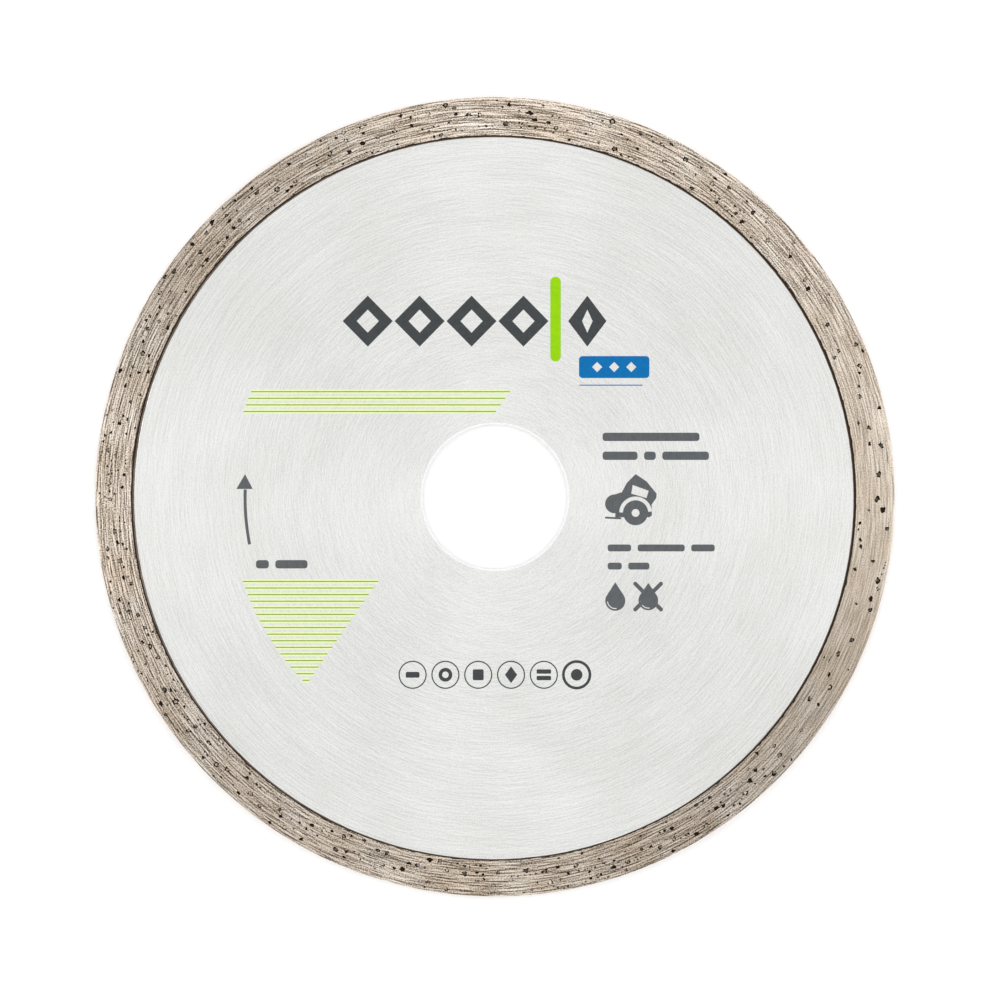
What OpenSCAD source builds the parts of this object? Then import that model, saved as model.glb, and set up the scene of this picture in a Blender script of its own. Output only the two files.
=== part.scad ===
// Continuous-rim diamond blade for wet cutting of ceramic tile.
// The blade lies flat: +Z is the spindle axis and leaves the printed side, and +Y is the top of the print.
// The origin is the centre of the arbor bore, half way through the steel core. Millimetres.

/* [Blade] */
// Outside diameter over the sintered rim
blade_d = 110; // [105:1:125]
// Diameter of the arbor bore
bore_d = 20; // [16:0.1:22.3]

/* [Steel core] */
// Thickness of the steel core
core_t = 1.3; // [1.2:0.05:1.5]
// Chamfer on both edges of the bore
bore_chamfer = 0.25; // [0.1:0.05:0.3]
// Radial depth of the tongue that the rim is sintered around
tongue_depth = 1.4; // [1.2:0.1:2]
// Thickness of that tongue
tongue_t = 0.9; // [0.7:0.05:1]
// Number of lock notches cut through the tongue
notch_count = 36; // [12:1:60]
// Radius of each lock notch
notch_r = 0.8; // [0.5:0.1:1]

/* [Cutting rim] */
// Thickness across the rim's two ground faces
rim_t = 2; // [1.8:0.1:2.2]
// Radial height of the rim, with its shoulder
rim_h = 5.4; // [5.2:0.1:8]
// Radial width of the unground shoulder beside the core
shoulder_w = 0.4; // [0.3:0.05:0.8]
// Height of the step where the shoulder meets the core
shoulder_step = 0.08; // [0.05:0.01:0.12]
// Radius on the two corners of the cutting edge
edge_r = 0.15; // [0.1:0.05:0.3]

/* [Diamond grit] */
// Largest width of a crystal across its cube faces
grit_size = 0.42; // [0.3:0.02:0.46]
// Depth of a crystal's centre under the ground metal
grit_sink = 0.12; // [0.1:0.01:0.16]
// Crystals that show on each side of the rim
face_grit_count = 84; // [12:1:96]
// Crystals that show on the cutting edge
edge_grit_count = 48; // [12:1:60]

/* [Hidden] */

blade_r = blade_d / 2;
bore_r = bore_d / 2;
rim_in_r = blade_r - rim_h;
tongue_r = rim_in_r + tongue_depth;

// Crystals follow the golden angle round the rim, so that no two of them touch.
golden_angle = 180 * (3 - sqrt(5));
grit_wander = 0.4;
face_grit_in_r = tongue_r + 0.35;
face_grit_out_r = blade_r - 0.85;
edge_grit_z = rim_t / 2 - 0.55;
smallest_grit = 0.7;
corner_cut = 1.25;
front_seed = 11;
back_seed = 23;
edge_seed = 37;

steel = "#e4e6e5";
sinter = "#ac9a86";
diamond = "#4d4335";

$fn = 180;

// Half of the core's section, from the bore to the tongue's edge.
module core_section() {
    polygon([
        [bore_r, -core_t / 2 + bore_chamfer],
        [bore_r + bore_chamfer, -core_t / 2],
        [rim_in_r, -core_t / 2],
        [rim_in_r, -tongue_t / 2],
        [tongue_r, -tongue_t / 2],
        [tongue_r, tongue_t / 2],
        [rim_in_r, tongue_t / 2],
        [rim_in_r, core_t / 2],
        [bore_r + bore_chamfer, core_t / 2],
        [bore_r, core_t / 2 - bore_chamfer]
    ]);
}

// Spin-ground steel blank: the bore, the flange seats and the notched tongue under the rim.
module core_disc() {
    color(steel)
        difference() {
            rotate_extrude() core_section();
            for (i = [0 : notch_count - 1])
                rotate([0, 0, i * 360 / notch_count])
                    translate([tongue_r, 0, 0])
                        cylinder(h = core_t, r = notch_r, center = true, $fn = 24);
        }
}

// Half of the rim's section: step, shoulder, ground faces and the two rounded corners.
module rim_section() {
    foot_z = core_t / 2 + shoulder_step;
    face_z = rim_t / 2;
    face_in_r = rim_in_r + shoulder_w;
    corner_r = blade_r - edge_r;
    polygon([
        [rim_in_r, -foot_z],
        [face_in_r, -face_z],
        [corner_r, -face_z],
        [corner_r, -face_z + edge_r],
        [blade_r, -face_z + edge_r],
        [blade_r, face_z - edge_r],
        [corner_r, face_z - edge_r],
        [corner_r, face_z],
        [face_in_r, face_z],
        [rim_in_r, foot_z]
    ]);
    for (side = [-1, 1])
        translate([corner_r, side * (face_z - edge_r)])
            circle(r = edge_r, $fn = 32);
}

// Sintered diamond ring, pressed round the core's tongue, with a pocket for every exposed crystal.
module cutting_rim() {
    color(sinter)
        difference() {
            rotate_extrude() rim_section();
            core_disc();
            diamond_grit_front();
            diamond_grit_back();
            diamond_grit_edge();
        }
}

// One blocky crystal: a cube whose corners are cut by a second, larger cube.
module crystal(width, turn) {
    rotate(turn)
        intersection() {
            cube(width, center = true);
            rotate([45, 0, 45])
                cube(corner_cut * width, center = true);
        }
}

// Crystals that show on the rim's upper face.
module face_grit(seed) {
    last = face_grit_count - 1;
    wander = rands(-grit_wander, grit_wander, face_grit_count, seed);
    radius = rands(face_grit_in_r, face_grit_out_r, face_grit_count, seed + 1);
    width = rands(smallest_grit * grit_size, grit_size, face_grit_count, seed + 2);
    turn = rands(0, 90, 3 * face_grit_count, seed + 3);
    for (i = [0 : last])
        rotate([0, 0, i * golden_angle + wander[i]])
            translate([radius[i], 0, rim_t / 2 - grit_sink])
                crystal(width[i], [turn[3 * i], turn[3 * i + 1], turn[3 * i + 2]]);
}

module diamond_grit_front() {
    color(diamond) face_grit(front_seed);
}

module diamond_grit_back() {
    color(diamond) mirror([0, 0, 1]) face_grit(back_seed);
}

// Crystals that show on the cylindrical cutting edge.
module diamond_grit_edge() {
    last = edge_grit_count - 1;
    height = rands(-edge_grit_z, edge_grit_z, edge_grit_count, edge_seed);
    width = rands(smallest_grit * grit_size, grit_size, edge_grit_count, edge_seed + 1);
    turn = rands(0, 90, 3 * edge_grit_count, edge_seed + 2);
    color(diamond)
        for (i = [0 : last])
            rotate([0, 0, i * golden_angle])
                translate([blade_r - grit_sink, 0, height[i]])
                    crystal(width[i], [turn[3 * i], turn[3 * i + 1], turn[3 * i + 2]]);
}

core_disc();
cutting_rim();
diamond_grit_front();
diamond_grit_back();
diamond_grit_edge();
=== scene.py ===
"""The looks of a continuous-rim diamond tile blade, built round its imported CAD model.

The blade lies flat with its printed side up: +Z is the spindle axis and +Y the top of the print.
Blender's lengths are metres. MM is one millimetre, and the print's sizes are given in millimetres.
"""
import math
import random
from collections import namedtuple

import bmesh
import bpy
from mathutils import Euler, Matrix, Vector, noise
from mathutils.geometry import delaunay_2d_cdt


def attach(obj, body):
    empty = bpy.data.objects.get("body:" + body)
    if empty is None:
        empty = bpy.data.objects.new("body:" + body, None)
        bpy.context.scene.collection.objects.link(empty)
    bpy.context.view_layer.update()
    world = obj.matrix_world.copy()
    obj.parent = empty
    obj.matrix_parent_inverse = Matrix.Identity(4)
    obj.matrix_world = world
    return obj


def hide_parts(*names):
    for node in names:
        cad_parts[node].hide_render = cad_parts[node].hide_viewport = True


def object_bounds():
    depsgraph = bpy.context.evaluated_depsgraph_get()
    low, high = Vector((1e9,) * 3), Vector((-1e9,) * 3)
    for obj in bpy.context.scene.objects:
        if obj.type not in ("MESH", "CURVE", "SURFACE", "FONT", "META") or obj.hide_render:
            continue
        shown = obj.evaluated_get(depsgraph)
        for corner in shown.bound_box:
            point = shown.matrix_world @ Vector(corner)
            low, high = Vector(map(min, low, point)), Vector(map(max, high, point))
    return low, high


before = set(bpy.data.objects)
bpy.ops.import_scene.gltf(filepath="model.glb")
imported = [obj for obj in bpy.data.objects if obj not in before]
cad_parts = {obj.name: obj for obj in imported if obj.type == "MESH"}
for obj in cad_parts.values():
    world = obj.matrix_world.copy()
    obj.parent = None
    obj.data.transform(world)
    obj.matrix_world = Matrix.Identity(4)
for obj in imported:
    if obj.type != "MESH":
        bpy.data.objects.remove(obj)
cad_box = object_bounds()
MM = 0.001

# ---------------------------------------------------------------- sizes, read from the frame


def section_points(node):
    """(distance from the spindle axis, height) of every vertex of a CAD node."""
    return [(math.hypot(v.co.x, v.co.y), v.co.z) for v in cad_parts[node].data.vertices]


HAIR = 0.01 * MM
rim_points = section_points("cutting_rim")
core_points = section_points("core_disc")
BLADE_R = max(r for r, z in rim_points)
RIM_IN_R = min(r for r, z in rim_points)
RIM_TOP = max(z for r, z in rim_points)
FACE_IN_R = min(r for r, z in rim_points if z > RIM_TOP - HAIR)
CORNER_R = max(r for r, z in rim_points if z > RIM_TOP - HAIR)
TONGUE_R = max(r for r, z in core_points)
TONGUE_TOP = max(z for r, z in core_points if r > RIM_IN_R + HAIR)
CORE_TOP = max(z for r, z in core_points)
EDGE_R = BLADE_R - CORNER_R
BORE_R = min(r for r, z in core_points)
CHAMFER = min(r for r, z in core_points if z > CORE_TOP - HAIR) - BORE_R

# ---------------------------------------------------------------- materials


def tone(code):
    """A colour written as six hex digits, as linear RGBA."""
    channels = [int(code[i:i + 2], 16) / 255 for i in (0, 2, 4)]
    return [c / 12.92 if c < 0.04045 else ((c + 0.055) / 1.055) ** 2.4 for c in channels] + [1]


class Look:
    """A procedural material, with its nodes written as nested calls."""

    def __init__(self, name, **shader_values):
        self.material = bpy.data.materials.new(name)
        self.material.use_nodes = True
        self.tree = self.material.node_tree
        self.shader = self.tree.nodes["Principled BSDF"]
        for socket, value in shader_values.items():
            self.shader.inputs[socket.replace("_", " ")].default_value = value

    def node(self, kind, inputs, output=0, **settings):
        """Adds a node, fills its inputs with values or other nodes' outputs, and returns an output."""
        made = self.tree.nodes.new("ShaderNode" + kind)
        for key, value in settings.items():
            setattr(made, key, value)
        for socket, value in inputs.items():
            if isinstance(value, bpy.types.NodeSocket):
                self.tree.links.new(value, made.inputs[socket])
            else:
                made.inputs[socket].default_value = value
        return made.outputs[output]

    def drive(self, socket, value):
        """Feeds one of the shader's sockets."""
        self.tree.links.new(value, self.shader.inputs[socket])

    def place(self):
        return self.node("TexCoord", {}, "Object")

    def number(self, operation, a, b):
        return self.node("Math", {0: a, 1: b}, operation=operation)

    def vector(self, operation, a, b=(0, 0, 0)):
        return self.node("VectorMath", {0: a, 1: b}, operation=operation)

    def grain(self, vector, size, detail=3.0, roughness=0.55):
        """Even noise whose features are about size across."""
        inputs = {"Vector": vector, "Scale": 1 / size, "Detail": detail, "Roughness": roughness}
        return self.node("TexNoise", inputs, "Fac")

    def heading(self):
        """Unit vector away from the spindle axis, which the scratches run across."""
        return self.vector("NORMALIZE", self.vector("MULTIPLY", self.place(), (1, 1, 0)))

    def toward(self, turn):
        """1 on the side of the blade that lies at turn degrees, and -1 on the other."""
        side = (math.cos(math.radians(turn)), math.sin(math.radians(turn)), 0)
        return self.node("VectorMath", {0: self.heading(), 1: side}, "Value", operation="DOT_PRODUCT")

    def radius(self):
        """Distance from the spindle axis."""
        flat = self.vector("MULTIPLY", self.place(), (1, 1, 0))
        return self.node("VectorMath", {0: flat}, "Value", operation="LENGTH")

    def arc_place(self, centre, length, width):
        """Coordinates that count lengths along circles about centre, and widths across them."""
        place = self.vector("SUBTRACT", self.place(), (centre[0], centre[1], 0))
        flat = self.vector("MULTIPLY", place, (1, 1, 0))
        heading = self.vector("NORMALIZE", flat)
        along = self.vector("MULTIPLY", heading, (BLADE_R / length, BLADE_R / length, 0))
        radius = self.node("VectorMath", {0: flat}, "Value", operation="LENGTH")
        height = self.node("SeparateXYZ", {0: place}, "Z")
        across = self.number("DIVIDE", self.number("ADD", radius, height), width)
        return self.vector("ADD", along, self.node("CombineXYZ", {"Z": across}))

    def arcs(self, centre, length, width, detail=0.0):
        """Noise drawn out along circles about centre."""
        return self.grain(self.arc_place(centre, length, width), 1, detail)

    def scratches(self, centre, length, width):
        """Fine arcs about centre with no slow change across them: each is set against its neighbour."""
        place = self.arc_place(centre, length, width)
        beside = self.grain(self.vector("ADD", place, (0, 0, 1)), 1, 0)
        return self.number("ADD", self.blend([(self.grain(place, 1, 0), 0.5), (beside, -0.5)]), 0.5)

    def blend(self, parts):
        """The weighted sum of (output, weight) pairs."""
        total = 0.0
        for value, weight in parts:
            total = self.node("Math", {0: value, 1: weight, 2: total}, operation="MULTIPLY_ADD")
        return total

    def ramp(self, value, stops):
        """A colour ramp with stops given as (position, colour)."""
        made = self.tree.nodes.new("ShaderNodeValToRGB")
        self.tree.links.new(value, made.inputs["Fac"])
        marks = made.color_ramp.elements
        while len(marks) < len(stops):
            marks.new(0.5)
        for mark, (position, colour) in zip(marks, stops):
            mark.position = position
            mark.color = colour
        return made.outputs["Color"]

    def span(self, value, low, high, to_low=0.0, to_high=1.0):
        """value, from low to high, as a number from to_low to to_high."""
        inputs = {"Value": value, "From Min": low, "From Max": high, "To Min": to_low, "To Max": to_high}
        return self.node("MapRange", inputs)

    def mix(self, factor, a, b, mode="MIX"):
        return self.node("Mix", {"Factor": factor, "A": a, "B": b}, 2, data_type="RGBA", blend_type=mode)

    def relief(self, layers):
        """Bump made of (height output, depth in metres) layers."""
        normal = None
        for height, depth in layers:
            inputs = {"Height": height, "Distance": depth, "Strength": 1.0}
            if normal is not None:
                inputs["Normal"] = normal
            normal = self.node("Bump", inputs)
        self.drive("Normal", normal)


def ground_sinter():
    """Bronze bond with the side grinder's scratches, which cross at slight angles over a fine mottle."""
    look = Look("ground_sinter", Metallic=0.85, Anisotropic=0.85)
    fine = look.scratches((0, 0), 3.5 * MM, 0.16 * MM)
    left = look.arcs((-2.6 * MM, 1.2 * MM), 4 * MM, 0.16 * MM)
    right = look.scratches((2.8 * MM, -1.8 * MM), 3 * MM, 0.17 * MM)
    broad = look.arcs((1.5 * MM, 2 * MM), 8 * MM, 0.4 * MM, 1)
    speckle = look.grain(look.place(), 0.17 * MM, 1)
    cloud = look.grain(look.place(), 9 * MM, 2)
    streaks = look.blend([(fine, 0.25), (left, 0.18), (right, 0.2), (broad, 0.04), (speckle, 0.33)])
    shade = look.ramp(look.span(streaks, 0.404, 0.596), [
        (0.0, tone("564739")),
        (0.28, tone("9a8f81")),
        (0.5, tone("c7bdb0")),
        (0.74, tone("f0e5da")),
        (1.0, tone("fff8ee")),
    ])
    warm = look.mix(look.span(cloud, 0.35, 0.65), tone("ffffff"), tone("f1eae2"))
    # The streaks are fainter at the right.
    calm = look.mix(look.span(look.toward(-10), 0.7, 1.0, 0.0, 0.6), shade, tone("cdc3b6"))
    # Painted light and shade: the bond's colour is painted palest at the upper right and darkest at the
    # bottom, for how the light falls on the rim.
    slanted = look.number("POWER", look.toward(32), 2)
    level = look.number("POWER", look.toward(0), 6)
    light_fall = look.blend([(look.toward(70), 0.36), (slanted, 0.64), (level, -0.2)])
    side_light = look.mix(look.span(light_fall, -0.25, 0.93), tone("d9d7d4"), tone("ffffff"))
    look.drive("Base Color", look.mix(1.0, look.mix(1.0, calm, warm, "MULTIPLY"), side_light, "MULTIPLY"))
    look.drive("Roughness", look.span(streaks, 0.38, 0.62, 0.54, 0.36))
    look.relief([(streaks, 0.014 * MM), (speckle, 0.006 * MM)])
    look.drive("Tangent", look.heading())
    return look.material


def raw_sinter():
    """Unground bond of the shoulder: brown-grey, dry and grainy."""
    look = Look("raw_sinter", Metallic=0.3)
    grit = look.grain(look.place(), 0.22 * MM, 4, 0.7)
    patch = look.grain(look.place(), 2.5 * MM, 3)
    tint = look.blend([(grit, 0.5), (patch, 0.5)])
    shade = look.ramp(tint, [
        (0.38, tone("544a41")),
        (0.52, tone("776c63")),
        (0.68, tone("9a8e84")),
    ])
    look.drive("Base Color", shade)
    look.drive("Roughness", look.span(grit, 0.3, 0.7, 0.95, 0.75))
    look.relief([(grit, 0.06 * MM)])
    return look.material


def shaded_torn_bond(name, dark, light):
    """Bond that was torn rather than ground, in a pit or in the groove beside the ground face: dark, with
    painted shade that makes it near-black.
    """
    look = Look(name, Specular_IOR_Level=0.12)
    grit = look.grain(look.place(), 0.1 * MM, 3, 0.7)
    look.drive("Base Color", look.ramp(grit, [(0.35, tone(dark)), (0.65, tone(light))]))
    look.drive("Roughness", look.span(grit, 0.3, 0.7, 0.95, 0.7))
    look.relief([(grit, 0.03 * MM)])
    return look.material


def smeared_bond():
    """Bond that the grinder smeared into a bright tail behind a crystal."""
    look = Look("smeared_bond", Metallic=0.6)
    along = look.arcs((0, 0), 2 * MM, 0.06 * MM, 2)
    look.drive("Base Color", look.ramp(along, [(0.35, tone("e0d5c9")), (0.65, tone("fbf5ee"))]))
    look.drive("Roughness", look.span(along, 0.3, 0.7, 0.5, 0.3))
    look.relief([(along, 0.01 * MM)])
    return look.material


def diamond():
    """Synthetic grit: glassy yellow-grey crystals with dark inclusions, many of them dark all through."""
    look = Look("diamond_crystal", IOR=1.7)
    cloud = look.grain(look.place(), 0.3 * MM, 3, 0.65)
    batch = look.grain(look.place(), 1.3 * MM, 1)
    cover = look.blend([(cloud, 0.5), (batch, 0.5)])
    shade = look.ramp(cover, [
        (0.42, tone("1a120a")),
        (0.5, tone("54493b")),
        (0.56, tone("a3947f")),
        (0.64, tone("ded3c0")),
    ])
    look.drive("Base Color", shade)
    look.drive("Roughness", look.span(cloud, 0.3, 0.7, 0.15, 0.5))
    look.relief([(cloud, 0.01 * MM)])
    return look.material


def ground_steel():
    """Spin-ground core: fine arcs about the bore, crossed by the swirls of an earlier pass."""
    look = Look("ground_steel", Metallic=1.0, Anisotropic=0.5)
    arcs = [
        (look.scratches((0, 0), 7 * MM, 0.16 * MM), 0.27),
        (look.scratches((8 * MM, 3 * MM), 4 * MM, 0.16 * MM), 0.16),
        (look.scratches((-6 * MM, 7 * MM), 4 * MM, 0.17 * MM), 0.14),
        (look.scratches((-3 * MM, -10 * MM), 3.5 * MM, 0.16 * MM), 0.13),
        (look.arcs((2 * MM, -1 * MM), 10 * MM, 0.6 * MM), 0.09),
        (look.grain(look.place(), 0.12 * MM, 0), 0.26),
    ]
    cloud = look.grain(look.place(), 14 * MM, 2)
    brushing = look.blend(arcs)
    shade = look.ramp(look.span(brushing, 0.42, 0.63), [
        (0.0, tone("d3d4d2")),
        (0.5, tone("e2e2e0")),
        (1.0, tone("f0f0ee")),
    ])
    tint = look.mix(look.span(cloud, 0.35, 0.65), tone("ffffff"), tone("f9f9f8"))
    worked = look.mix(1.0, shade, tint, "MULTIPLY")
    # Painted sheen: the steel is painted paler near the bore, for its brighter reflection there.
    bore_sheen = look.span(look.radius(), 2.4 * BORE_R, 1.2 * BORE_R, 0.0, 0.14)
    sheened = look.mix(bore_sheen, worked, tone("ffffff"))
    polished = look.span(look.radius(), BORE_R + CHAMFER + HAIR, BORE_R + CHAMFER - HAIR)
    look.drive("Base Color", look.mix(polished, sheened, tone("ffffff")))
    rough = look.span(brushing, 0.42, 0.63, 0.38, 0.27)
    look.drive("Roughness", look.number("MULTIPLY", rough, look.span(polished, 0.0, 1.0, 1.0, 0.6)))
    look.relief([(brushing, 0.005 * MM)])
    look.drive("Tangent", look.heading())
    return look.material


def ink(name, light, dark):
    """Screen-printed ink: a satin film that is a little thinner in places and follows the brushing."""
    look = Look(name, Specular_IOR_Level=0.12)
    film = look.grain(look.place(), 0.5 * MM, 4, 0.65)
    brushing = look.arcs((0, 0), 12 * MM, 0.2 * MM, 2)
    cover = look.blend([(film, 0.6), (brushing, 0.4)])
    look.drive("Base Color", look.ramp(cover, [(0.35, tone(dark)), (0.65, tone(light))]))
    look.drive("Roughness", look.span(film, 0.3, 0.7, 0.5, 0.36))
    look.relief([(cover, 0.004 * MM)])
    return look.material


def floor_look():
    """Pale, matt studio floor."""
    look = Look("studio_floor", Roughness=0.9)
    cloud = look.grain(look.place(), 60 * MM, 2)
    look.drive("Base Color", look.ramp(cloud, [(0.3, tone("fcfcfc")), (0.7, tone("ffffff"))]))
    return look.material


# ---------------------------------------------------------------- pieces


def add_piece(name, bm, materials, smooth_below=0.0):
    """Turns a bmesh into a piece on the blade's one body.

    Faces that meet at less than smooth_below look smooth.
    """
    bmesh.ops.recalc_face_normals(bm, faces=bm.faces)
    mesh = bpy.data.meshes.new(name)
    bm.to_mesh(mesh)
    bm.free()
    for material in materials:
        mesh.materials.append(material)
    if smooth_below:
        mesh.shade_smooth()
        mesh.set_sharp_from_angle(angle=smooth_below)
    piece = bpy.data.objects.new(name, mesh)
    bpy.context.scene.collection.objects.link(piece)
    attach(piece, "root")
    return piece


def dress(node, material):
    """Gives a CAD node, whose shape is right, its material."""
    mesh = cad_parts[node].data
    for i in range(len(mesh.materials)):
        mesh.materials[i] = material


def plane_fill(loops, covered):
    """Triangles of a plane figure. covered tells whether a point lies in it. Points are in millimetres."""
    points, edges = [], []
    for loop in loops:
        first = len(points)
        points += [Vector(p) for p in loop]
        edges += [(first + i, first + (i + 1) % len(loop)) for i in range(len(loop))]
    corners, _, faces, origin, _, _ = delaunay_2d_cdt(points, edges, [], 0, 1e-5)
    kept = [f for f in faces if covered(sum((corners[i] for i in f), Vector((0, 0))) / len(f))]
    return corners, kept, origin


def inside(point, loop):
    """Whether a point lies in a closed loop, by counting the edges to its right."""
    x, y = point
    odd = False
    for (ax, ay), (bx, by) in zip(loop, loop[1:] + loop[:1]):
        if (ay > y) != (by > y) and x < ax + (y - ay) * (bx - ax) / (by - ay):
            odd = not odd
    return odd


# ---------------------------------------------------------------- pits and crystals

# A pit lies at an angle and a radius on one face of the rim.
# Its half_length runs along the rim and its half_width across.
Pit = namedtuple("Pit", "angle radius half_length half_width depth shape")
PIT_SIDES = 11
PIT_GAP = 0.03 * MM
# A ragged outline stays within this many times a pit's half size.
PIT_REACH = 1.15
SEAT_DEPTH = 0.2 * MM
SPECK_DEPTH = 0.16 * MM
GROOVE_DEPTH = 0.07 * MM
SCRATCH_DEPTH = 0.05 * MM


def polar(radius, angle, height=0.0):
    return Vector((radius * math.cos(angle), radius * math.sin(angle), height))


def turn_between(a, b):
    """The angle from b to a, from -pi to pi."""
    return (a - b + math.pi) % math.tau - math.pi


def pit_loop(pit, share=1.0):
    """A pit's ragged outline, or a smaller loop inside it, as (x, y) points in metres."""
    loop = []
    for i, wobble in enumerate(pit.shape):
        turn = math.tau * i / len(pit.shape)
        along = share * wobble * pit.half_length * math.cos(turn)
        across = share * wobble * pit.half_width * math.sin(turn)
        loop.append(polar(pit.radius + across, pit.angle + along / pit.radius).to_2d())
    return loop


def clash(a, b):
    """Whether two pits come too near each other."""
    turn = turn_between(a.angle, b.angle)
    along = abs(turn) * a.radius - PIT_REACH * (a.half_length + b.half_length)
    across = abs(a.radius - b.radius) - PIT_REACH * (a.half_width + b.half_width)
    return along < PIT_GAP and across < PIT_GAP


def fits(pit, others, seams):
    """Whether a pit keeps clear of the others, of the face's edges and of the seams."""
    if not ground_edge(pit.angle) + EDGE_ROOM < pit.radius - PIT_REACH * pit.half_width:
        return False
    if not pit.radius + PIT_REACH * pit.half_width < CORNER_R - 0.5 * PIT_GAP:
        return False
    for seam in seams:
        turn = turn_between(pit.angle, seam)
        if abs(turn) * pit.radius < PIT_REACH * pit.half_length + PIT_GAP:
            return False
    return not any(clash(pit, other) for other in others)


def crystal_seats(node):
    """(angle, radius, half width) of each crystal of a CAD node, from the separate islands of its mesh."""
    bm = bmesh.new()
    bm.from_mesh(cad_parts[node].data)
    bmesh.ops.remove_doubles(bm, verts=bm.verts, dist=0.1 * HAIR)
    todo = set(bm.verts)
    seats = []
    while todo:
        island = [min(todo, key=lambda v: v.index)]
        todo.discard(island[0])
        for vert in island:
            near = [edge.other_vert(vert) for edge in vert.link_edges]
            fresh = [v for v in near if v in todo]
            todo.difference_update(fresh)
            island += fresh
        middle = sum((v.co for v in island), Vector()) / len(island)
        reach = max((v.co - middle).to_2d().length for v in island)
        seats.append((math.atan2(middle.y, middle.x), middle.to_2d().length, reach))
    bm.free()
    return seats


def clear_seams(count, seats):
    """Angles that part the rim into count arcs, each moved to where no crystal sits."""
    seams = []
    for i in range(count):
        angle = math.tau * i / count
        while any(abs(turn_between(angle, a)) * r < 2.2 * reach for a, r, reach in seats):
            angle += math.radians(0.2)
        seams.append(angle)
    return seams


class Scatter:
    """The pits of one face, with the small crystals and smeared tails that go with them."""

    def __init__(self, rng, seats, seams):
        self.rng = rng
        self.seams = seams
        self.pits = []
        self.grains = []
        self.tails = []
        for angle, radius, reach in seats:
            width = reach + rng.uniform(0.05, 0.14) * MM
            half_length = width * rng.uniform(1.0, 1.3)
            self.pits.append(self.shaped(angle, radius, half_length, width, SEAT_DEPTH))

    def shaped(self, angle, radius, half_length, half_width, depth):
        """A pit with a ragged outline."""
        shape = [self.rng.uniform(0.45, 1.13) for _ in range(PIT_SIDES)]
        return Pit(angle, radius, half_length, half_width, depth, shape)

    def speck(self, angle, radius, size, grain_odds=0.32):
        """A pit about 2 * size across, with or without a crystal. Returns whether there was room for it."""
        stretch = self.rng.uniform(0.9, 1.7)
        pit = self.shaped(angle, radius, size * stretch, size, SPECK_DEPTH)
        roll = self.rng.random()
        if not fits(pit, self.pits, self.seams):
            return False
        self.pits.append(pit)
        if size > 0.15 * MM and roll < grain_odds:
            self.grains.append((pit.angle, pit.radius, 0.85 * size))
        return True

    def cluster(self, angle, radius):
        """A few pits close together."""
        for _ in range(self.rng.randint(3, 7)):
            spot = angle + self.rng.gauss(0, 0.8 * MM) / BLADE_R
            self.speck(spot, radius + self.rng.gauss(0, 0.3 * MM), self.rng.uniform(0.12, 0.36) * MM)

    def chain(self, angle, radius):
        """A crooked crack: small pits in a row."""
        for _ in range(self.rng.randint(3, 8)):
            self.speck(angle, radius, self.rng.uniform(0.1, 0.2) * MM)
            angle += self.rng.uniform(0.32, 0.55) * MM / BLADE_R
            radius += self.rng.gauss(0.03, 0.14) * MM

    def comet(self, angle, radius):
        """A crystal with a groove on one side of its wake and a bright smear on the other."""
        size = self.rng.uniform(0.17, 0.24) * MM
        length = self.rng.uniform(1.2, 3.6) * MM
        if not self.speck(angle, radius, size, 1.0):
            return
        back = angle + (0.6 * length + 2.2 * size) / BLADE_R
        groove = self.shaped(back, radius - 0.09 * MM, 0.5 * length, 0.075 * MM, GROOVE_DEPTH)
        if fits(groove, self.pits, self.seams):
            self.pits.append(groove)
            self.tails.append((back, radius + 0.08 * MM, 0.5 * length, 0.07 * MM))

    def scratch(self, angle, radius):
        """A fine groove along the rim."""
        length = self.rng.uniform(0.4, 1.5) * MM
        half_width = self.rng.uniform(0.04, 0.07) * MM
        pit = self.shaped(angle, radius, length, half_width, SCRATCH_DEPTH)
        if fits(pit, self.pits, self.seams):
            self.pits.append(pit)


def scatter(rng, seats, seams):
    """One face's pits, few of them on the blade's right side."""
    face = Scatter(rng, seats, seams)
    kinds = [face.comet] * 16 + [face.cluster] * 95 + [face.chain] * 110 + [face.scratch] * 55
    kinds += [face.speck] * 700
    for kind in kinds:
        angle = rng.uniform(-math.pi, math.pi)
        radius = rng.uniform(FACE_IN_R, CORNER_R)
        size = rng.triangular(0.12, 0.5, 0.17) * MM
        quiet = abs(angle) < 0.75
        if rng.random() > (0.2 if quiet else 0.85):
            continue
        if kind == face.speck:
            kind(angle, radius, size)
        else:
            kind(angle, radius)
    return face


def add_crystal(bm, centre, width, turn):
    """One blocky crystal: the twelve corners of a cuboctahedron."""
    corners = []
    for axis in range(3):
        for a in (-0.5, 0.5):
            for b in (-0.5, 0.5):
                corner = [a, b]
                corner.insert(axis, 0.0)
                spot = Vector(corner) * width
                spot.rotate(turn)
                corners.append(bm.verts.new(centre + spot))
    bmesh.ops.convex_hull(bm, input=corners)


def fine_grit(name, rng, grains, side):
    """The smaller crystals of one face, each low in its own pit."""
    bm = bmesh.new()
    for angle, radius, width in grains:
        turn = Euler([rng.uniform(0, math.pi) for _ in range(3)])
        add_crystal(bm, polar(radius, angle, side * (RIM_TOP - 0.3 * width)), width, turn)
    add_piece(name, bm, [looks["diamond"]])


def smeared_tails(name, tails, side):
    """Low ridges that taper away behind the crystals of the comets."""
    bm = bmesh.new()
    for angle, radius, half_length, half_width in tails:
        near, far = angle - half_length / radius, angle + half_length / radius
        low = side * (RIM_TOP - 0.01 * MM)
        ridge = [
            polar(radius - half_width, near, low),
            polar(radius + half_width, near, low),
            polar(radius, far, low),
            polar(radius, near, side * (RIM_TOP + 0.05 * MM)),
        ]
        bmesh.ops.convex_hull(bm, input=[bm.verts.new(corner) for corner in ridge])
    add_piece(name, bm, [looks["smeared_bond"]])


# ---------------------------------------------------------------- the rim

ARCS = 8
STEPS = 150
# Places of the rim's materials in rim_looks.
GROUND, RAW, GROOVE_SHADE, PIT, STEEL = range(5)
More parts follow.
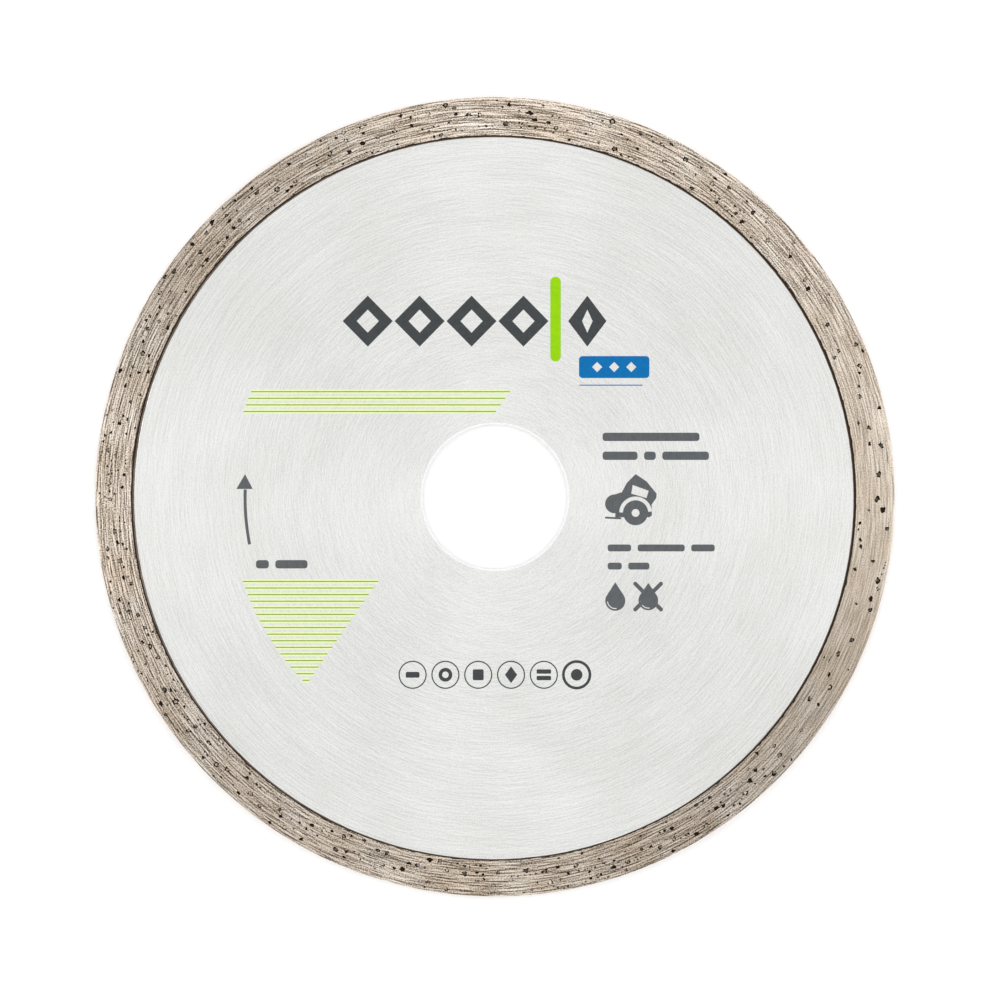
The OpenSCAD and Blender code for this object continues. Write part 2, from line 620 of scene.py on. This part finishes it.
# How far a chip reaches into the ground face, and the room that pits leave for it.
CHIP = 0.09 * MM
EDGE_ROOM = 0.14 * MM


def ground_edge(angle):
    """Mean radius where the ground face begins: the blade ran a little out of true on the grinder."""
    return FACE_IN_R - (0.07 + 0.195 * math.cos(angle) + 0.145 * math.sin(angle)) * MM


def ragged_edge(angle):
    """The ground face's real edge, with a small chip here and there: most at the top and bottom."""
    spot = polar(BLADE_R, angle)
    wear = (0.5 + 1.0 * math.sin(angle) ** 2) * MM
    chip = max(0.0, noise.noise(spot / (1.0 * MM)) - 0.2)
    ripple = 0.04 * wear * noise.noise(spot / (0.45 * MM))
    return ground_edge(angle) + ripple + min(CHIP, 0.5 * wear * chip)


def foot_edge(angle):
    """Radius where the bond meets the steel that shows: it was pressed on a little out of round."""
    lean = 0.16 * math.cos(angle) + 0.185 * math.sin(angle) + 0.09 * math.cos(2 * angle)
    ragged = 0.02 * noise.noise(polar(BLADE_R, angle) / (1.1 * MM))
    return RIM_IN_R + (0.02 - lean - ragged) * MM


def shelf(angle):
    """How much of the shoulder's width is a paler shelf beside the steel: most at the left."""
    return 0.36 - 0.18 * math.cos(angle - math.radians(10))


def cut_edge(angle, height):
    """Radius of the cutting edge, roughened by the grains behind it."""
    return BLADE_R - 0.05 * MM * abs(noise.noise(polar(BLADE_R, angle, height) / (0.5 * MM)))


def outer_side(angle):
    """Section of the cutting edge, from the lower face's rim round to the upper face's."""
    rows = []
    for side in (-1, 1):
        corner = []
        for i in range(4):
            turn = math.radians(30 * i)
            radius = CORNER_R + EDGE_R * math.sin(turn)
            height = side * (RIM_TOP - EDGE_R + EDGE_R * math.cos(turn))
            corner.append((min(radius, cut_edge(angle, height)), height))
        rows.append(corner if side < 0 else corner[::-1])
    flat = RIM_TOP - EDGE_R
    middle = [(cut_edge(angle, flat * s / 4), flat * s / 4) for s in range(-3, 4)]
    return rows[0] + middle + rows[1]


def inner_side(angle):
    """Section of the shoulders and of the groove that grips the core, from the upper face to the lower."""
    edge, foot = ragged_edge(angle), foot_edge(angle)
    crest = foot + shelf(angle) * (edge - foot)
    upper = [
        (edge, RIM_TOP),
        (edge - 0.03 * MM, CORE_TOP + 0.04 * MM),
        (crest, CORE_TOP + 0.06 * MM),
        (foot, CORE_TOP + 0.02 * MM),
        (RIM_IN_R, CORE_TOP - 0.01 * MM),
        (TONGUE_R, TONGUE_TOP),
    ]
    return upper + [(radius, -height) for radius, height in reversed(upper)]


# The material of each strip of inner_side, from the upper face to the lower. The first two and last two
# strips carry the groove's painted shade.
INNER_STRIPS = [GROOVE_SHADE, GROOVE_SHADE, RAW, STEEL, RAW, RAW, RAW, STEEL, RAW, GROOVE_SHADE, GROOVE_SHADE]


def add_pit(bm, pit, side, rim_verts):
    """Walls and floor of a pit that hangs from its outline."""
    depth = side * (RIM_TOP - pit.depth)
    floor = [bm.verts.new((p.x, p.y, depth)) for p in pit_loop(pit, 0.7)]
    count = len(floor)
    for i in range(count):
        j = (i + 1) % count
        bm.faces.new((rim_verts[i], rim_verts[j], floor[j], floor[i])).material_index = PIT
    bm.faces.new(floor).material_index = PIT


def add_face(bm, outer, inner, pits, side):
    """One ground face of an arc of rim, between its two rows of vertices, with its pits."""
    outline = outer + inner[::-1]
    holes = [[bm.verts.new((p.x, p.y, side * RIM_TOP)) for p in pit_loop(pit)] for pit in pits]
    loops = [[v.co.to_2d() / MM for v in verts] for verts in [outline] + holes]
    cuts = []
    for pit, loop in zip(pits, loops[1:]):
        middle = polar(pit.radius, pit.angle).to_2d() / MM
        cuts.append((middle, 1.2 * pit.half_length / MM + 0.2, loop))

    def covered(point):
        if not inside(point, loops[0]):
            return False
        near = [loop for middle, reach, loop in cuts if (point - middle).length < reach]
        return not any(inside(point, loop) for loop in near)

    verts = [v for group in [outline] + holes for v in group]
    _, faces, origin = plane_fill(loops, covered)
    for face in faces:
        bm.faces.new([verts[origin[i][0]] for i in face]).material_index = GROUND
    for pit, hole in zip(pits, holes):
        add_pit(bm, pit, side, hole)


def rim_arc(name, start, end, pits_by_side):
    """One arc of the sintered rim as a closed solid."""
    bm = bmesh.new()
    angles = [start + (end - start) * i / STEPS for i in range(STEPS + 1)]
    outer = [[bm.verts.new(polar(r, a, z)) for r, z in outer_side(a)] for a in angles]
    inner = [[bm.verts.new(polar(r, a, z)) for r, z in inner_side(a)] for a in angles]
    for rows, strips in ((outer, [GROUND] * (len(outer[0]) - 1)), (inner, INNER_STRIPS)):
        for one, two in zip(rows, rows[1:]):
            for j, material in enumerate(strips):
                bm.faces.new((one[j], one[j + 1], two[j + 1], two[j])).material_index = material
    for side, first, last in ((1, -1, 0), (-1, 0, -1)):
        outer_row = [column[first] for column in outer]
        inner_row = [column[last] for column in inner]
        mine = [pit for pit in pits_by_side[side] if 0 < (pit.angle - start) % math.tau < end - start]
        add_face(bm, outer_row, inner_row, mine, side)
    for column in (0, -1):
        bm.faces.new(outer[column] + inner[column]).material_index = RAW
    piece = add_piece(name, bm, rim_looks, math.radians(35))
    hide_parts("cutting_rim")


def build_rim():
    """The rim's arcs, its pits and the crystals in them."""
    seats = {1: crystal_seats("diamond_grit_front"), -1: crystal_seats("diamond_grit_back")}
    seams = clear_seams(ARCS, seats[1] + seats[-1])
    pits = {}
    for side, name, seed in ((1, "front", 5), (-1, "back", 8)):
        rng = random.Random(seed)
        face = scatter(rng, seats[side], seams)
        pits[side] = face.pits
        fine_grit("fine_grit_" + name, rng, face.grains, side)
        smeared_tails("smeared_tails_" + name, face.tails, side)
    for i, start in enumerate(seams):
        end = seams[(i + 1) % ARCS]
        rim_arc(f"rim_arc_{i + 1}", start, end if end > start else end + math.tau, pits)


# ---------------------------------------------------------------- the print

INK_T = 0.014 * MM
# The screen sat a little off the bore's centre.
PRINT_OFF = (-0.13 * MM, -0.07 * MM)


def disc(x, y, radius, sides=40):
    turns = [math.tau * i / sides for i in range(sides)]
    return [(x + radius * math.cos(t), y + radius * math.sin(t)) for t in turns]


def ring(x, y, radius, line):
    return (disc(x, y, radius), [disc(x, y, radius - line)])


def box(x0, y0, x1, y1, rounding=0.0):
    """A rectangle with rounded corners, as a loop."""
    if not rounding:
        return [(x0, y0), (x1, y0), (x1, y1), (x0, y1)]
    loop = []
    left, right = x0 + rounding, x1 - rounding
    low, high = y0 + rounding, y1 - rounding
    for quarter, (cx, cy) in enumerate([(right, high), (left, high), (left, low), (right, low)]):
        for i in range(6):
            turn = math.radians(90 * quarter + 18 * i)
            loop.append((cx + rounding * math.cos(turn), cy + rounding * math.sin(turn)))
    return loop


def stroke(ax, ay, bx, by, line):
    """A straight line of some width with round ends, as a loop."""
    heading = math.atan2(by - ay, bx - ax)
    loop = []
    for (cx, cy), start in (((bx, by), -90), ((ax, ay), 90)):
        for i in range(9):
            turn = heading + math.radians(start + 22.5 * i)
            loop.append((cx + line / 2 * math.cos(turn), cy + line / 2 * math.sin(turn)))
    return loop


def bend(x, y, radius, start, end, line, sides=24):
    """An arc of some width, as a loop. Angles are in degrees."""
    turns = [math.radians(start + (end - start) * i / sides) for i in range(sides + 1)]
    out = [(x + (radius + line / 2) * math.cos(t), y + (radius + line / 2) * math.sin(t)) for t in turns]
    back = [(x + (radius - line / 2) * math.cos(t), y + (radius - line / 2) * math.sin(t)) for t in turns]
    return out + back[::-1]


def drop(x, y, radius, height):
    """A water drop whose round part is about (x, y), as a loop that runs from the tip's tangents."""
    lean = math.acos(radius / height)
    first, last = math.pi / 2 + lean, 2.5 * math.pi - lean
    turns = [first + (last - first) * i / 32 for i in range(33)]
    return [(x + radius * math.cos(t), y + radius * math.sin(t)) for t in turns] + [(x, y + height)]


def solid(*loops):
    """Shapes without holes."""
    return [(loop, []) for loop in loops]


def print_figure(bm, shapes, film):
    """Adds one figure of the print: the union of (outline, holes) shapes, as a closed film on the core."""
    loops = [loop for outline, holes in shapes for loop in [outline] + holes]

    def covered(point):
        for outline, holes in shapes:
            if inside(point, outline) and not any(inside(point, hole) for hole in holes):
                return True
        return False

    corners, faces, _ = plane_fill(loops, covered)
    low, high = {}, {}
    for i in sorted({i for face in faces for i in face}):
        x, y = corners[i].x * MM + PRINT_OFF[0], corners[i].y * MM + PRINT_OFF[1]
        low[i] = bm.verts.new((x, y, CORE_TOP - 0.3 * INK_T))
        high[i] = bm.verts.new((x, y, CORE_TOP + film))
    sides = {}
    for face in faces:
        bm.faces.new([high[i] for i in face])
        bm.faces.new([low[i] for i in reversed(face)])
        for a, b in zip(face, face[1:] + face[:1]):
            sides[frozenset((a, b))] = None if frozenset((a, b)) in sides else (a, b)
    for a, b in filter(None, sides.values()):
        bm.faces.new((low[a], low[b], high[b], high[a]))


def print_layer(name, material, figures, share=1.0):
    """One piece of print, share of INK_T thick."""
    bm = bmesh.new()
    for shapes in figures:
        print_figure(bm, shapes, share * INK_T)
    add_piece(name, bm, [material])


def lozenge(x, y, half_width, half_height):
    return [(x + half_width, y), (x, y + half_height), (x - half_width, y), (x, y - half_height)]


def lozenge_band():
    """Four open lozenges and a fifth after the green bar, in place of a name."""
    base, top, pitch, line = 20.76, 27.79, 7.15, 1.35
    half_height = (top - base) / 2
    y = base + half_height
    figures = []
    for x, half_width in [(-17.4 + pitch * i, 3.45) for i in range(4)] + [(12.85, 2.64)]:
        window = lozenge(x, y, half_width - line * 1.42, half_height - line * 1.42)
        figures.append([(lozenge(x, y, half_width, half_height), [window])])
    return figures


def dashes(left, right, base, height, words):
    """A line of plain dashes in place of text, whose lengths follow words."""
    gap = 0.9
    unit = (right - left - gap * (len(words) - 1)) / sum(words)
    figures = []
    x = left
    for word in words:
        figures.append(solid(box(x, base, x + word * unit, base + height, 0.35 * height)))
        x += word * unit + gap
    return figures


def turn_arrow():
    """Arrow that shows which way the blade turns, along a circle about the bore."""
    radius = 34.3
    shaft = bend(0, 0, radius, 178.2, 190.9, 0.42)
    head = [(-35.5, 1.15), (-33.25, 1.15), (-34.3, 3.2)]
    return [solid(shaft, head)]


def saw_mark():
    """A hand-held cutter: a body with a round motor and a D-handle, a gap round the disc, and the base."""
    x, y = 19.5, -2.15
    hub = disc(x, y, 0.54)
    gap = bend(x, y, 2.0, 5, 178, 0.52)
    shoulder = [(16.7, -2.75), (16.7, -1.5), (16.6, 0.4), (17.6, 0.7), (18.3, 2.0)]
    handle = [(19.5, 3.2), (21.0, 2.2), (22.4, 0.5), (22.35, -0.1)]
    guard = [(21.7, -1.0), (21.75, -2.5), (21.4, -2.75)]
    grip = [(19.1, 1.7), (21.3, 0.9), (21.0, -0.1), (18.9, 0.5)]
    body = (shoulder + handle + guard, [grip, gap, hub])
    motor = (disc(16.6, -0.9, 1.3), [gap])
    blade = (disc(x, y, 1.7), [hub])
    base = (stroke(15.4, -2.8, 17.4, -2.9, 0.26), [])
    return [[body, motor, blade, base]]


def drops():
    """A drop, and a drop under a cross."""
    figures = []
    for x, y, radius, height in ((16.7, -14.25, 1.38, 2.55), (21.25, -14.2, 1.36, 2.4)):
        glint = bend(x, y, 0.78 * radius, 185, 280, 0.13)
        figures.append([(drop(x, y, radius, height), [glint])])
    left, right, base, top, line = 19.45, 23.0, -15.45, -11.9, 0.55
    figures[1] += solid(stroke(left, top, right, base, line), stroke(left, base, right, top, line))
    return figures


def ringed_marks():
    """Six rings with plain figures in them: a bar, a ring, a square, a lozenge, two bars and a disc."""
    y, pitch = -24.45, 4.52
    x = [-11.22 + pitch * i for i in range(6)]
    figures = [[ring(centre, y, 1.94, 0.17)] for centre in x[:5]]
    figures.append([ring(x[5], y, 2.02, 0.38)])
    figures.append(solid(box(x[0] - 0.95, y - 0.4, x[0] + 0.95, y + 0.4, 0.2)))
    figures.append([ring(x[1], y, 0.95, 0.5)])
    figures.append(solid(box(x[2] - 0.75, y - 0.75, x[2] + 0.75, y + 0.75, 0.2)))
    figures.append(solid(lozenge(x[3], y, 0.85, 1.15)))
    figures.append(solid(box(x[4] - 1.0, y + 0.15, x[4] + 1.0, y + 0.75, 0.15)))
    figures.append(solid(box(x[4] - 1.0, y - 0.75, x[4] + 1.0, y - 0.15, 0.15)))
    figures.append(solid(disc(x[5], y, 0.8)))
    return figures


def hatch_lines(line):
    """Green hatching: a band of four lines and a triangle of sixteen. They end on one circle."""
    edge_r, pitch = 36.5, 0.908
    rows = [(14.55 - pitch * i, 2.19 - 0.64 * i) for i in range(4)]
    rows += [(-11.59 - pitch * i, -16.0 - 0.63 * i) for i in range(16)]
    figures = []
    for y, right in rows:
        left = -math.sqrt(edge_r ** 2 - y ** 2)
        figures.append(solid(box(left, y - line / 2, right, y + line / 2)))
    return figures


def badge():
    """A plain blue plate with three open diamonds, and a thin line under it."""
    left, right, base, top = 11.7, 21.4, 16.43, 19.46
    windows = [lozenge(x, 17.95, 0.7, 0.7) for x in (14.2, 16.55, 18.9)]
    plate = [(box(left, base, right, top, 0.5), windows)]
    return [plate, solid(box(11.75, 15.38, 20.45, 15.52))]


def build_print():
    grey = turn_arrow() + saw_mark() + drops()
    grey += dashes(14.95, 28.3, 7.75, 1.15, (8,))
    grey += dashes(14.95, 29.6, 5.15, 1.15, (3, 1, 4))
    grey += dashes(15.65, 30.4, -7.45, 0.95, (3, 6, 3))
    grey += dashes(15.65, 21.4, -9.95, 0.95, (2, 3))
    grey += dashes(-32.8, -25.7, -9.8, 1.15, (2, 5))
    print_layer("print_dark", looks["dark_ink"], lozenge_band() + ringed_marks())
    print_layer("print_grey", looks["grey_ink"], grey)
    green_bar = solid(box(7.75, 18.72, 9.2, 30.39, 0.7))
    print_layer("print_green", looks["green_ink"], [green_bar])
    print_layer("print_hatching_halo", looks["thin_green_ink"], hatch_lines(0.62), 0.5)
    print_layer("print_hatching", looks["hatch_ink"], hatch_lines(0.13))
    print_layer("print_blue", looks["blue_ink"], badge())


# ---------------------------------------------------------------- studio and camera


def build_floor():
    """A pale floor under the rim."""
    half = 12 * BLADE_R
    bm = bmesh.new()
    bmesh.ops.create_grid(bm, x_segments=8, y_segments=8, size=half)
    mesh = bpy.data.meshes.new("studio_floor")
    bm.to_mesh(mesh)
    bm.free()
    mesh.materials.append(looks["floor"])
    floor = bpy.data.objects.new("studio_floor", mesh)
    floor.location.z = cad_box[0].z
    bpy.context.scene.collection.objects.link(floor)


def build_lights():
    """An even white sky, and four long soft boxes that draw the bright cross on the brushed core."""
    world = bpy.data.worlds.new("studio")
    bpy.context.scene.world = world
    world.use_nodes = True
    sky = world.node_tree.nodes["Background"]
    sky.inputs["Color"].default_value = tone("ffffff")
    sky.inputs["Strength"].default_value = 1.0
    for i, power in enumerate((1.0, 0.8, 1.0, 0.6)):
        turn = math.radians(90 * i)
        light = bpy.data.lights.new(f"soft_box_{i + 1}", "AREA")
        light.shape = "RECTANGLE"
        light.size = 4 * BLADE_R
        light.size_y = 2 * BLADE_R
        light.energy = 0.3 * power
        lamp = bpy.data.objects.new(light.name, light)
        lamp.location = polar(6 * BLADE_R, turn, 6 * BLADE_R)
        lamp.rotation_euler = (-lamp.location).to_track_quat("-Z", "Y").to_euler()
        bpy.context.scene.collection.objects.link(lamp)


def build_camera():
    """Square on to the printed side. The blade spans fill of the picture, a little off its centre."""
    fill, off_x, off_y = 0.7992, -0.0050, 0.0032
    data = bpy.data.cameras.new("camera")
    data.lens = 100
    data.sensor_width = 36
    width = 2 * BLADE_R / fill
    camera = bpy.data.objects.new("camera", data)
    camera.location = (-off_x * width, -off_y * width, RIM_TOP + width * data.lens / data.sensor_width)
    bpy.context.scene.collection.objects.link(camera)
    bpy.context.scene.camera = camera
    data.clip_start = 0.01
    data.clip_end = 100


looks = {
    "diamond": diamond(),
    "steel": ground_steel(),
    "smeared_bond": smeared_bond(),
    "dark_ink": ink("dark_ink", "404344", "36393b"),
    "grey_ink": ink("grey_ink", "5a5d5f", "4f5254"),
    "green_ink": ink("green_ink", "8cc400", "82b900"),
    "hatch_ink": ink("hatch_ink", "77940c", "6c8806"),
    "thin_green_ink": ink("thin_green_ink", "d6e2ae", "ccd89f"),
    "blue_ink": ink("blue_ink", "0067a4", "005e98"),
    "floor": floor_look(),
}
rim_looks = [
    ground_sinter(),
    raw_sinter(),
    # Painted shade: the groove beside the ground face and the pits are painted near-black for the shade in
    # them, over the torn bond's own dark colour.
    shaded_torn_bond("shaded_groove_bond", "1f1610", "45382c"),
    shaded_torn_bond("shaded_pit_bond", "0c0703", "2e2014"),
    looks["steel"],
]

dress("core_disc", looks["steel"])
for node in ("diamond_grit_front", "diamond_grit_back", "diamond_grit_edge"):
    dress(node, looks["diamond"])
build_rim()
build_print()
build_floor()
build_lights()
build_camera()
bpy.context.scene.view_settings.view_transform = "Standard"
